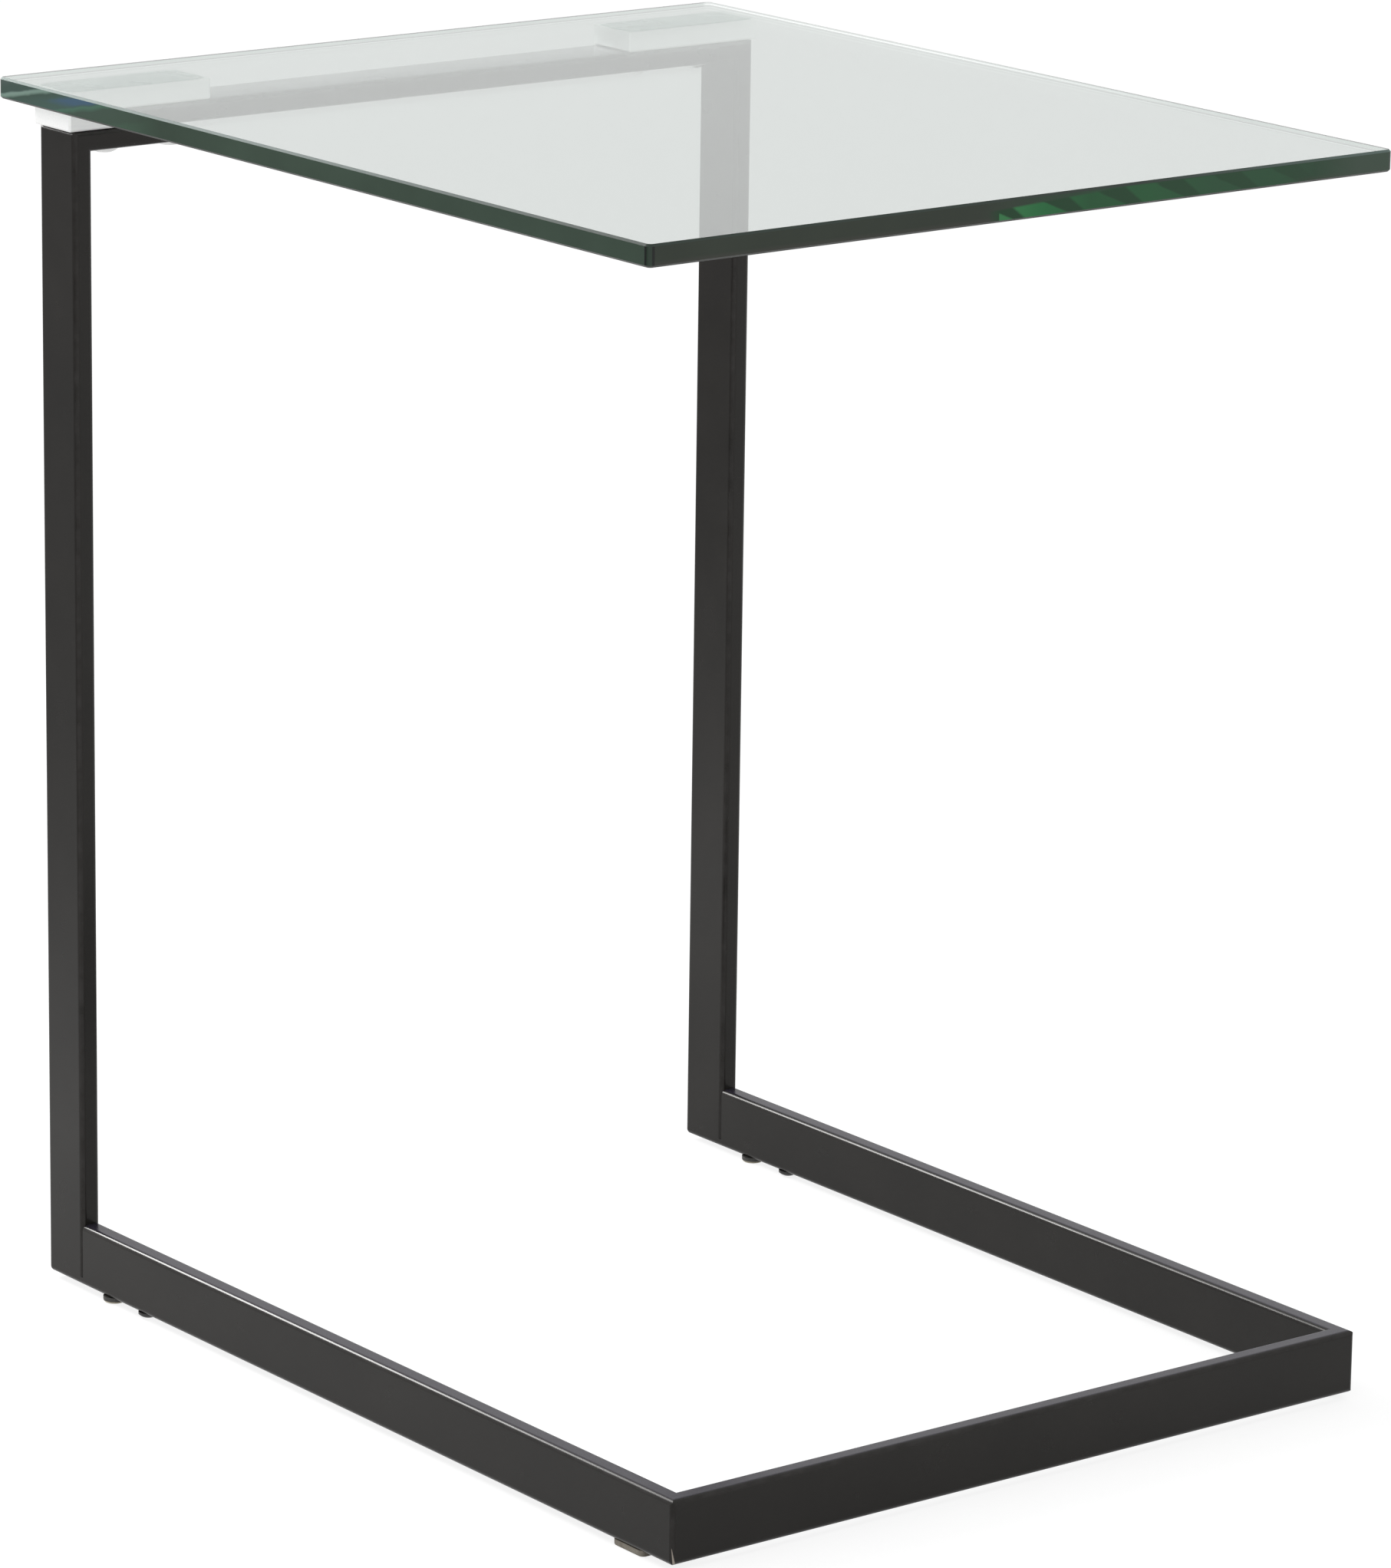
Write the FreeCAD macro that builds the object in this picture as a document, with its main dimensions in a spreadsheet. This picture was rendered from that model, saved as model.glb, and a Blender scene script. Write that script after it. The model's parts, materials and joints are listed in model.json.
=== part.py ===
import FreeCAD, Part
import os

import Sketcher
from FreeCAD import Vector

# C shaped side table: a glass top held at its rear edge by a flat tube frame.
# Millimetres. +X to the right, the open side of the C faces -Y, +Z up.
# The origin lies on the floor, in the middle of the table's outline.

# Driving dimensions
SIZES = {
    # frame tube: one flat section for every member
    "tube_depth": 30,
    "tube_thickness": 10,
    "tube_wall": 1.5,
    "tube_radius": 2.5,
    "corner_ease": 2,
    # overall frame
    "frame_width": 394,
    "base_depth": 495,
    "frame_height": 557,
    "cap_thickness": 4,
    "cap_round": 2.5,
    # glass top
    "glass_width": 414,
    "glass_depth": 500,
    "glass_thickness": 10,
    "glass_corner_radius": 3,
    "glass_arris": 1,
    "glass_rear_overhang": 19,
    # blocks and adhesive under the glass
    "block_length": 78,
    "block_height": 9.7,
    "block_overhang": 2.5,
    "block_bevel": 0.8,
    "block_floor": 2.7,
    "film_thickness": 0.3,
    "film_inset": 1,
    # bolts from the top rail into the blocks
    "glass_bolt_diameter": 6,
    "glass_bolt_head_diameter": 13.5,
    "glass_bolt_head_height": 3.4,
    "glass_bolt_socket": 4,
    "glass_bolt_setback": 16,
    "glass_bolt_end_distance": 13.5,
    "sleeve_wall": 1.5,
    # bolted joint between uprights and base rails
    "tongue_length": 70,
    "tongue_gap": 0.2,
    "tongue_corner_radius": 1.5,
    "tongue_lead_in": 1,
    "joint_bolt_diameter": 5,
    "joint_bolt_length": 16,
    "joint_bolt_head_diameter": 9.5,
    "joint_bolt_head_height": 2.5,
    "joint_bolt_socket": 3,
    "joint_bolt_setback": 49,
    # feet
    "foot_height": 3,
    "pad_length": 22,
    "pad_width": 8,
    "pad_corner_radius": 3,
    "pad_edge_round": 1,
    "pad_setback": 33.5,
    "glide_diameter": 11,
    "glide_edge_round": 1.5,
    "glide_floor": 1,
    "glide_lip": 0.9,
    "stud_diameter": 5,
    "stud_length": 18,
    "stud_setback": 20,
    "stud_flange_diameter": 7.6,
    # clearances
    "hole_clearance": 0.5,
    "thread_clearance": 0.1,
    "blind_hole_spare": 1,
}

# Shape of a dome headed bolt, as shares of its own sizes
HEAD_FLAT = 0.9  # radius of the flat round the socket, per socket width
HEAD_DOME = 1.2  # radius of the dome, per head radius
HEAD_RIM = 0.45  # straight rim, per head height
SOCKET_DEPTH = 0.6  # per head height

# Largest rounds that a wall takes
PAIR_LIMIT = 0.45  # with a round on both its edges, per width
EDGE_LIMIT = 0.75  # with a round on one edge, per thickness
INNER_LIMIT = 0.25  # least round inside a tube, per wall

CORNER_LOSS = "(1 - sqrt(0.5))"  # how far a round stands back from its sharp corner, per radius
TOLERANCE = 1e-4  # for finding edges

# Places worked out from the driving dimensions
Y_FRONT = "(-(sizes.base_depth + sizes.glass_rear_overhang) / 2)"
Y_BACK = "((sizes.base_depth - sizes.glass_rear_overhang) / 2)"
Y_RAIL_MIDDLE = f"({Y_BACK} - sizes.tube_depth / 2)"
Y_RAIL_END = f"({Y_BACK} - sizes.tube_depth)"
Z_RAIL_TOP = "(sizes.foot_height + sizes.frame_height)"
Z_BLOCK_TOP = f"({Z_RAIL_TOP} + sizes.block_height)"
Z_GLASS = f"({Z_BLOCK_TOP} + sizes.film_thickness)"
X_FRAME = "(sizes.frame_width / 2)"
X_TUBE_MIDDLE = f"({X_FRAME} - sizes.tube_thickness / 2)"
X_BLOCK = f"({X_FRAME} + sizes.block_overhang - sizes.block_length / 2)"
RAIL_LENGTH = "(sizes.base_depth - sizes.tube_depth)"
INNER_DEPTH = "(sizes.tube_depth - 2 * sizes.tube_wall)"
INNER_THICKNESS = "(sizes.tube_thickness - 2 * sizes.tube_wall)"
TUBE_RADIUS = f"min(sizes.tube_radius; {PAIR_LIMIT} * sizes.tube_thickness)"
INNER_RADIUS = f"max({TUBE_RADIUS} - sizes.tube_wall; {INNER_LIMIT} * sizes.tube_wall)"
THREAD_DEPTH = "(sizes.block_height - sizes.block_floor)"
BOLT_GRIP = f"({THREAD_DEPTH} - sizes.blind_hole_spare)"
SIDES = {"left": -1, "right": 1}
ACROSS = {"YZ_Plane": Vector(1, 0, 0), "XZ_Plane": Vector(0, 1, 0), "XY_Plane": Vector(0, 0, 1)}

doc = FreeCAD.newDocument("c_side_table")
sheet = doc.addObject("Spreadsheet::Sheet", "sizes")
for row, (alias, size) in enumerate(SIZES.items(), start=1):
    sheet.set(f"A{row}", alias)
    sheet.set(f"B{row}", str(size))
    sheet.setAlias(f"B{row}", alias)
doc.recompute()

nodes = []


def value(expression):
    return float(sheet.evalExpression(expression))


# Document helpers


def new_body(label, x="0", y="0", z="0", node=True):
    body = doc.addObject("PartDesign::Body", label)
    for axis, expression in zip("xyz", (x, y, z)):
        body.setExpression(f"Placement.Base.{axis}", expression)
    if node:
        nodes.append(body)
    return body


def new_sketch(body, name, plane, height="0"):
    sketch = body.newObject("Sketcher::SketchObject", f"{body.Name}_{name}")
    support = next(f for f in body.Origin.OriginFeatures if f.Role == plane)
    sketch.AttachmentSupport = [(support, "")]
    sketch.MapMode = "FlatFace"
    sketch.setExpression("AttachmentOffset.Base.z", height)
    return sketch


def bind(sketch, kind, *references, expression):
    """Adds a dimension to a sketch and ties it to the sheet."""
    index = sketch.addConstraint(Sketcher.Constraint(kind, *references, value(expression)))
    sketch.setExpression(f"Constraints[{index}]", expression)


def place_point(sketch, geometry, point, x, y):
    bind(sketch, "DistanceX", -1, 1, geometry, point, expression=x)
    bind(sketch, "DistanceY", -1, 1, geometry, point, expression=y)


def outline(sketch, corners, hollow_arcs=False):
    """Closed outline of corners (x, y), or (x, y, radius) where an arc runs on to the next one."""
    points = [Vector(value(corner[0]), value(corner[1]), 0) for corner in corners]
    following = points[1:] + points[:1]
    turn = sum(p.x * q.y - q.x * p.y for p, q in zip(points, following))
    bulge = 1 if (turn > 0) != hollow_arcs else -1
    first = sketch.GeometryCount
    ends = []
    for corner, start, end in zip(corners, points, following):
        piece, numbers = Part.LineSegment(start, end), (1, 2)
        if len(corner) == 3:
            piece, numbers = corner_arc(start, end, value(corner[2]), bulge)
        sketch.addGeometry(piece)
        ends.append(numbers)
    for i, corner in enumerate(corners):
        after = (i + 1) % len(corners)
        meeting = (first + i, ends[i][1], first + after, ends[after][0])
        sketch.addConstraint(Sketcher.Constraint("Coincident", *meeting))
        place_point(sketch, first + i, ends[i][0], corner[0], corner[1])
        if len(corner) == 3:
            bind(sketch, "Radius", first + i, expression=corner[2])


def corner_arc(start, end, radius, bulge):
    """Arc of under a half circle, drawn counter-clockwise, with the numbers of its two ends."""
    chord = end - start
    outwards = Vector(chord.y, -chord.x, 0).normalize() * bulge
    centre = (start + end) / 2 - outwards * (radius**2 - (chord.Length / 2) ** 2) ** 0.5
    circle = Part.Circle(centre, Vector(0, 0, 1), radius)
    if (start - centre).cross(end - centre).z > 0:
        return Part.ArcOfCircle(circle, circle.parameter(start), circle.parameter(end)), (1, 2)
    return Part.ArcOfCircle(circle, circle.parameter(end), circle.parameter(start)), (2, 1)


def rectangle(sketch, width, height, x="0", y="0", radius=None):
    """Rectangle with its middle at x, y, and with round corners where a radius is given."""
    left, right = f"({x} - {width} / 2)", f"({x} + {width} / 2)"
    low, high = f"({y} - {height} / 2)", f"({y} + {height} / 2)"
    if radius is None:
        outline(sketch, [(left, low), (right, low), (right, high), (left, high)])
        return
    corners = [
        (f"{left} + {radius}", low),
        (f"{right} - {radius}", low, radius),
        (right, f"{low} + {radius}"),
        (right, f"{high} - {radius}", radius),
        (f"{right} - {radius}", high),
        (f"{left} + {radius}", high, radius),
        (left, f"{high} - {radius}"),
        (left, f"{low} + {radius}", radius),
    ]
    outline(sketch, corners)


def circles(sketch, centres, diameter):
    for x, y in centres:
        centre = Vector(value(x), value(y), 0)
        index = sketch.addGeometry(Part.Circle(centre, Vector(0, 0, 1), value(diameter) / 2))
        place_point(sketch, index, 3, x, y)
        bind(sketch, "Diameter", index, expression=diameter)


def pad(sketch, length, symmetric=False):
    feature = sketch.getParentGeoFeatureGroup().newObject("PartDesign::Pad", f"{sketch.Name}_pad")
    feature.Profile = sketch
    feature.SideType = "Symmetric" if symmetric else "One side"
    feature.setExpression("Length", length)
    doc.recompute()
    return feature


def pocket(sketch, length=None, upwards=False):
    """Cut of a given length, or right through to both sides where none is given."""
    body = sketch.getParentGeoFeatureGroup()
    before = body.Shape.Volume
    feature = body.newObject("PartDesign::Pocket", f"{sketch.Name}_cut")
    feature.Profile = sketch
    if length is None:
        feature.Type = "ThroughAll"
        feature.SideType = "Symmetric"
    else:
        feature.Reversed = upwards
        feature.setExpression("Length", length)
    doc.recompute()
    if feature.Shape.isNull() or feature.Shape.Volume >= before:
        raise RuntimeError(f"{feature.Name} cut nothing")
    return feature


def dress(feature, kind, edges, size):
    """Fillet or chamfer on the named edges of the body's last feature."""
    body = feature.getParentGeoFeatureGroup()
    dressed = body.newObject(f"PartDesign::{kind}", f"{feature.Name}_{kind.lower()}")
    dressed.Base = (feature, edges)
    dressed.setExpression("Radius" if kind == "Fillet" else "Size", size)
    doc.recompute()
    return dressed


def revolve(sketch):
    body = sketch.getParentGeoFeatureGroup()
    feature = body.newObject("PartDesign::Revolution", f"{sketch.Name}_turned")
    feature.Profile = sketch
    feature.ReferenceAxis = (sketch, ["V_Axis"])
    doc.recompute()
    return feature


def edges_along(feature, direction):
    """Names of the straight edges that run along a direction."""
    names = []
    for number, edge in enumerate(feature.Shape.Edges, start=1):
        straight = edge.Curve.TypeId == "Part::GeomLine"
        if straight and edge.Curve.Direction.cross(direction).Length < TOLERANCE:
            names.append(f"Edge{number}")
    return names


def edges_at_height(feature, z, leave_out=()):
    """Names of the edges that lie flat at a height, in the body's own frame."""
    names = []
    for number, edge in enumerate(feature.Shape.Edges, start=1):
        box = edge.BoundBox
        flat = abs(box.ZMin - z) < TOLERANCE and abs(box.ZMax - z) < TOLERANCE
        if flat and f"Edge{number}" not in leave_out:
            names.append(f"Edge{number}")
    return names


def group(label, members):
    """One node that holds several separate solids."""
    compound = doc.addObject("Part::Compound", label)
    compound.Links = members
    nodes.append(compound)
    doc.recompute()


def hollow(feature, plane, width, height, x, y):
    """Round the long edges of a tube member and cut its bore right through, square to a plane."""
    body = feature.getParentGeoFeatureGroup()
    dress(feature, "Fillet", edges_along(feature, ACROSS[plane]), TUBE_RADIUS)
    bore = new_sketch(body, "bore", plane)
    rectangle(bore, width, height, x, y, INNER_RADIUS)
    pocket(bore)


def ease_corner(body, name, plane, corner, along, across):
    """Grind the sharp outer edge of a mitre, which runs halfway between along and across."""
    x, y = corner
    ease = "sizes.corner_ease"
    loss = f"{CORNER_LOSS} * {ease}"
    tip = new_sketch(body, name, plane)
    corners = [
        (x, y),
        (f"{x} + {along[0]} * {ease}", f"{y} + {along[1]} * {ease}", ease),
        (f"{x} + {along[0] + across[0]} * {loss}", f"{y} + {along[1] + across[1]} * {loss}"),
    ]
    outline(tip, corners, hollow_arcs=True)
    pocket(tip)


# Glass top


def make_glass():
    y_middle = f"{Y_BACK} + sizes.glass_rear_overhang - sizes.glass_depth / 2"
    body = new_body("glass_top", y=y_middle, z=Z_GLASS)
    plate = new_sketch(body, "plate", "XY_Plane")
    rectangle(plate, "sizes.glass_width", "sizes.glass_depth", radius="sizes.glass_corner_radius")
    solid = pad(plate, "sizes.glass_thickness")
    rims = edges_at_height(solid, 0) + edges_at_height(solid, value("sizes.glass_thickness"))
    dress(solid, "Chamfer", rims, "sizes.glass_arris")


def make_bond_film(name, side):
    body = new_body(f"{name}_bond_film", f"{side} * {X_BLOCK}", Y_RAIL_MIDDLE, Z_BLOCK_TOP)
    plan = new_sketch(body, "plan", "XY_Plane")
    inset = "2 * sizes.film_inset"
    rectangle(plan, f"(sizes.block_length - {inset})", f"(sizes.tube_depth - {inset})")
    pad(plan, "sizes.film_thickness")


# Blocks between the glass and the frame


def bolt_places(side):
    """X of the two bolts of one side: one by the upright, one by the block's inner end."""
    outer = f"({X_FRAME} - sizes.tube_thickness - sizes.glass_bolt_setback)"
    inner = f"({X_BLOCK} - sizes.block_length / 2 + sizes.glass_bolt_end_distance)"
    return [f"{side} * {outer}", f"{side} * {inner}"]


def make_glass_block(name, side):
    body = new_body(f"{name}_glass_block", f"{side} * {X_BLOCK}", Y_RAIL_MIDDLE, Z_RAIL_TOP)
    bar = new_sketch(body, "bar", "XY_Plane")
    rectangle(bar, "sizes.block_length", "sizes.tube_depth")
    solid = pad(bar, "sizes.block_height")
    rims = edges_at_height(solid, 0) + edges_along(solid, Vector(0, 0, 1))
    dress(solid, "Chamfer", rims, "sizes.block_bevel")
    threads = new_sketch(body, "threads", "XY_Plane")
    centres = [(f"{x} - {side} * {X_BLOCK}", "0") for x in bolt_places(side)]
    circles(threads, centres, "(sizes.glass_bolt_diameter + sizes.thread_clearance)")
    pocket(threads, THREAD_DEPTH, upwards=True)


# Frame members of flat tube


def make_top_rail():
    body = new_body("top_rail", y=Y_RAIL_MIDDLE, z=Z_RAIL_TOP)
    side_view = new_sketch(body, "side_view", "XZ_Plane")
    corners = [
        (f"-{X_FRAME}", "0"),
        (f"-({X_FRAME} - sizes.tube_thickness)", "-sizes.tube_thickness"),
        (f"{X_FRAME} - sizes.tube_thickness", "-sizes.tube_thickness"),
        (X_FRAME, "0"),
    ]
    outline(side_view, corners)
    solid = pad(side_view, "sizes.tube_depth", symmetric=True)
    hollow(solid, "YZ_Plane", INNER_DEPTH, INNER_THICKNESS, "0", "-sizes.tube_thickness / 2")
    for name, side in SIDES.items():
        ease_corner(body, f"{name}_ease", "XZ_Plane", (f"{side} * {X_FRAME}", "0"), (-side, 0), (0, -1))
    holes = new_sketch(body, "bolt_holes", "XY_Plane")
    centres = [(x, "0") for side in SIDES.values() for x in bolt_places(side)]
    circles(holes, centres, "(sizes.glass_bolt_diameter + sizes.hole_clearance)")
    pocket(holes)


def make_upright(name, side):
    z_foot = "(sizes.foot_height + sizes.cap_thickness)"
    rise = "(sizes.frame_height - sizes.cap_thickness)"
    body = new_body(f"{name}_upright", f"{side} * {X_FRAME}", Y_RAIL_MIDDLE, z_foot)
    front_view = new_sketch(body, "front_view", "XZ_Plane")
    inner_face = f"{-side} * sizes.tube_thickness"
    corners = [
        ("0", "0"),
        ("0", rise),
        (inner_face, f"{rise} - sizes.tube_thickness"),
        (inner_face, "0"),
    ]
    outline(front_view, corners)
    solid = pad(front_view, "sizes.tube_depth", symmetric=True)
    hollow(solid, "XY_Plane", INNER_THICKNESS, INNER_DEPTH, f"{inner_face} / 2", "0")
    ease_corner(body, "ease", "XZ_Plane", ("0", rise), (0, -1), (-side, 0))


def make_upright_cap(name, side):
    x = f"{side} * {X_TUBE_MIDDLE}"
    body = new_body(f"{name}_upright_cap", x, Y_RAIL_MIDDLE, "sizes.foot_height")
    plate = new_sketch(body, "plate", "XY_Plane")
    half_x, half_y = "sizes.tube_thickness / 2", "sizes.tube_depth / 2"
    corners = [
        (f"-{half_x}", f"-{half_y}"),
        (half_x, f"-{half_y}"),
        (half_x, f"{half_y} - {TUBE_RADIUS}", TUBE_RADIUS),
        (f"{half_x} - {TUBE_RADIUS}", half_y),
        (f"-{half_x} + {TUBE_RADIUS}", half_y, TUBE_RADIUS),
        (f"-{half_x}", f"{half_y} - {TUBE_RADIUS}"),
    ]
    outline(plate, corners)
    solid = pad(plate, "sizes.cap_thickness")
    front_edges = [
        edge
        for edge in edges_along(solid, Vector(1, 0, 0))
        if solid.Shape.getElement(edge).CenterOfMass.y < 0
    ]
    rim = edges_at_height(solid, 0, leave_out=front_edges)
    cap_round = f"min(sizes.cap_round; {TUBE_RADIUS}; {EDGE_LIMIT} * sizes.cap_thickness)"
    dress(solid, "Fillet", rim, cap_round)


def make_base_rail(name, side):
    body = new_body(f"{name}_base_rail", f"{side} * {X_FRAME}", Y_FRONT, "sizes.foot_height")
    plan = new_sketch(body, "plan", "XY_Plane")
    inner_face = f"{-side} * sizes.tube_thickness"
    corners = [
        ("0", "0"),
        ("0", RAIL_LENGTH),
        (inner_face, RAIL_LENGTH),
        (inner_face, "sizes.tube_thickness"),
    ]
    outline(plan, corners)
    solid = pad(plan, "sizes.tube_depth")
    middle = f"{inner_face} / 2"
    hollow(solid, "XZ_Plane", INNER_THICKNESS, INNER_DEPTH, middle, "sizes.tube_depth / 2")
    ease_corner(body, "ease", "XY_Plane", ("0", "0"), (0, 1), (-side, 0))
    for screw in ("stud", "joint_bolt"):
        hole = new_sketch(body, f"{screw}_hole", "XY_Plane")
        centre = (middle, f"{RAIL_LENGTH} - sizes.{screw}_setback")
        circles(hole, [centre], f"(sizes.{screw}_diameter + sizes.hole_clearance)")
        pocket(hole, "sizes.tube_depth / 2", upwards=True)


def make_front_base_rail():
    body = new_body("front_base_rail", y=Y_FRONT, z="sizes.foot_height")
    plan = new_sketch(body, "plan", "XY_Plane")
    corners = [
        (f"-{X_FRAME}", "0"),
        (X_FRAME, "0"),
        (f"{X_FRAME} - sizes.tube_thickness", "sizes.tube_thickness"),
        (f"-({X_FRAME} - sizes.tube_thickness)", "sizes.tube_thickness"),
    ]
    outline(plan, corners)
    solid = pad(plan, "sizes.tube_depth")
    middle = ("sizes.tube_thickness / 2", "sizes.tube_depth / 2")
    hollow(solid, "YZ_Plane", INNER_THICKNESS, INNER_DEPTH, *middle)
    for name, side in SIDES.items():
        ease_corner(body, f"{name}_ease", "XY_Plane", (f"{side} * {X_FRAME}", "0"), (-side, 0), (0, 1))


# Bolted joint: a tongue welded to each upright fills the end of the base rail


def make_joint_tongue(name, side):
    z_low = "(sizes.foot_height + sizes.tube_wall + sizes.tongue_gap)"
    body = new_body(f"{name}_joint_tongue", f"{side} * {X_TUBE_MIDDLE}", Y_RAIL_END, z_low)
    section = new_sketch(body, "section", "XZ_Plane")
    width = f"({INNER_THICKNESS} - 2 * sizes.tongue_gap)"
    rise = f"({INNER_DEPTH} - 2 * sizes.tongue_gap)"
    radius = f"min(sizes.tongue_corner_radius; {PAIR_LIMIT} * {width})"
    rectangle(section, width, rise, y=f"{rise} / 2", radius=radius)
    solid = pad(section, "sizes.tongue_length")
    tip = [
        f"Edge{number}"
        for number, edge in enumerate(solid.Shape.Edges, start=1)
        if edge.BoundBox.YMax < -value("sizes.tongue_length") + TOLERANCE
    ]
    dress(solid, "Chamfer", tip, f"min(sizes.tongue_lead_in; {EDGE_LIMIT} * {radius})")
    entry = "(sizes.tube_wall + sizes.tongue_gap)"
    for screw in ("stud", "joint_bolt"):
        thread = new_sketch(body, f"{screw}_thread", "XY_Plane")
        centre = ("0", f"-sizes.{screw}_setback")
        circles(thread, [centre], f"(sizes.{screw}_diameter + sizes.thread_clearance)")
        pocket(thread, f"(sizes.{screw}_length - {entry} + sizes.blind_hole_spare)", upwards=True)


# Fasteners


def button_bolt(label, bolt, length, x, y, z):
    """Dome headed bolt with a hexagon socket, head down, seated at z."""
    body = new_body(label, x, y, z, node=False)
    shank, head = f"sizes.{bolt}_diameter / 2", f"sizes.{bolt}_head_diameter / 2"
    drop, socket = f"sizes.{bolt}_head_height", f"sizes.{bolt}_socket"
    half = new_sketch(body, "half", "XZ_Plane")
    corners = [
        ("0", length),
        ("0", f"-{drop}"),
        (f"{socket} * {HEAD_FLAT}", f"-{drop}", f"{head} * {HEAD_DOME}"),
        (head, f"-{drop} * {HEAD_RIM}"),
        (head, "0"),
        (shank, "0"),
        (shank, length),
    ]
    outline(half, corners)
    revolve(half)
    hexagon = new_sketch(body, "socket", "XY_Plane", height=f"-{drop}")
    reach = f"({socket} / sqrt(3))"
    corners = [
        (reach, "0"),
        (f"{reach} / 2", f"{socket} / 2"),
        (f"-{reach} / 2", f"{socket} / 2"),
        (f"-{reach}", "0"),
        (f"-{reach} / 2", f"-{socket} / 2"),
        (f"{reach} / 2", f"-{socket} / 2"),
    ]
    outline(hexagon, corners)
    pocket(hexagon, f"{drop} * {SOCKET_DEPTH}", upwards=True)
    return body


def make_glass_bolts():
    seat = f"({Z_RAIL_TOP} - sizes.tube_thickness)"
    length = f"(sizes.tube_thickness + {BOLT_GRIP})"
    bolts, sleeves = [], []
    for name, side in SIDES.items():
        for number, x in enumerate(bolt_places(side), start=1):
            label = f"{name}_glass_bolt_{number}"
            bolts.append(button_bolt(label, "glass_bolt", length, x, Y_RAIL_MIDDLE, seat))
            sleeves.append(rail_sleeve(f"{name}_rail_sleeve_{number}", x))
    group("glass_bolts", bolts)
    group("rail_sleeves", sleeves)


def rail_sleeve(label, x):
    """Spacer that fills the height of the rail's bore round a bolt."""
    z_low = f"({Z_RAIL_TOP} - sizes.tube_thickness + sizes.tube_wall)"
    body = new_body(label, x, Y_RAIL_MIDDLE, z_low, node=False)
    ring = new_sketch(body, "ring", "XY_Plane")
    bore = "(sizes.glass_bolt_diameter + sizes.hole_clearance)"
    circles(ring, [("0", "0")], bore)
    circles(ring, [("0", "0")], f"({bore} + 2 * sizes.sleeve_wall)")
    pad(ring, INNER_THICKNESS)
    return body


def make_joint_bolts():
    y = f"{Y_RAIL_END} - sizes.joint_bolt_setback"
    length = "sizes.joint_bolt_length"
    bolts = []
    for name, side in SIDES.items():
        x = f"{side} * {X_TUBE_MIDDLE}"
        label = f"{name}_joint_bolt"
        bolts.append(button_bolt(label, "joint_bolt", length, x, y, "sizes.foot_height"))
    group("joint_bolts", bolts)


# Feet


def make_front_pad(name, side):
    body = new_body(f"{name}_front_pad", f"{side} * {X_TUBE_MIDDLE}", f"{Y_FRONT} + sizes.pad_setback")
    plan = new_sketch(body, "plan", "XY_Plane")
    radius = f"min(sizes.pad_corner_radius; {PAIR_LIMIT} * sizes.pad_width)"
    rectangle(plan, "sizes.pad_width", "sizes.pad_length", radius=radius)
    solid = pad(plan, "sizes.foot_height")
    edge_round = f"min(sizes.pad_edge_round; {EDGE_LIMIT} * {radius}; {EDGE_LIMIT} * sizes.foot_height)"
    dress(solid, "Fillet", edges_at_height(solid, 0), edge_round)


def make_glide(name, side):
    """Levelling glide: a swivel foot, and the flanged stud it turns on, which enters the tongue."""
    place = (f"{side} * {X_TUBE_MIDDLE}", f"{Y_RAIL_END} - sizes.stud_setback")
    foot = new_body(f"{name}_glide_base", *place)
    rim = "sizes.glide_diameter / 2"
    edge = f"min(sizes.glide_edge_round; {EDGE_LIMIT} * sizes.foot_height)"
    hole = "((sizes.stud_diameter + sizes.thread_clearance) / 2)"
    recess = "((sizes.stud_flange_diameter + sizes.thread_clearance) / 2)"
    floor = "sizes.glide_floor"
    lip = "(sizes.foot_height - sizes.glide_lip)"
    half = new_sketch(foot, "half", "XZ_Plane")
    corners = [
        ("0", floor),
        ("0", "0"),
        (f"{rim} - {edge}", "0", edge),
        (rim, edge),
        (rim, "sizes.foot_height"),
        (hole, "sizes.foot_height"),
        (hole, lip),
        (recess, lip),
        (recess, floor),
    ]
    outline(half, corners)
    revolve(half)

    stud = new_body(f"{name}_glide_stud", *place)
    play = "sizes.thread_clearance / 2"
    shank, flange = "sizes.stud_diameter / 2", "sizes.stud_flange_diameter / 2"
    top = "(sizes.foot_height + sizes.stud_length)"
    half = new_sketch(stud, "half", "XZ_Plane")
    corners = [
        ("0", top),
        ("0", f"{floor} + {play}"),
        (flange, f"{floor} + {play}"),
        (flange, f"{lip} - {play}"),
        (shank, f"{lip} - {play}"),
        (shank, top),
    ]
    outline(half, corners)
    revolve(half)


# Build every piece

make_glass()
make_top_rail()
make_front_base_rail()
for side_name, side_sign in SIDES.items():
    make_bond_film(side_name, side_sign)
    make_glass_block(side_name, side_sign)
    make_upright(side_name, side_sign)
    make_upright_cap(side_name, side_sign)
    make_base_rail(side_name, side_sign)
    make_joint_tongue(side_name, side_sign)
    make_front_pad(side_name, side_sign)
    make_glide(side_name, side_sign)
make_glass_bolts()
make_joint_bolts()
doc.recompute()

# Check every object, then write one file per node
for item in doc.Objects:
    if {"Invalid", "Error"} & set(item.State):
        raise RuntimeError(f"{item.Label} failed: {item.State}")
for node in nodes:
    if node.Shape.isNull() or not node.Shape.isValid():
        raise RuntimeError(f"{node.Label} has no valid shape")

os.makedirs("parts", exist_ok=True)
for node in nodes:
    node.Shape.exportStep(f"parts/{node.Label}.step")
    print(f"{node.Label}: {len(node.Shape.Solids)} solid(s), {node.Shape.Volume / 1000:.2f} cm3")
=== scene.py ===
import json
import math

import bpy
from mathutils import Matrix, Vector


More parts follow.
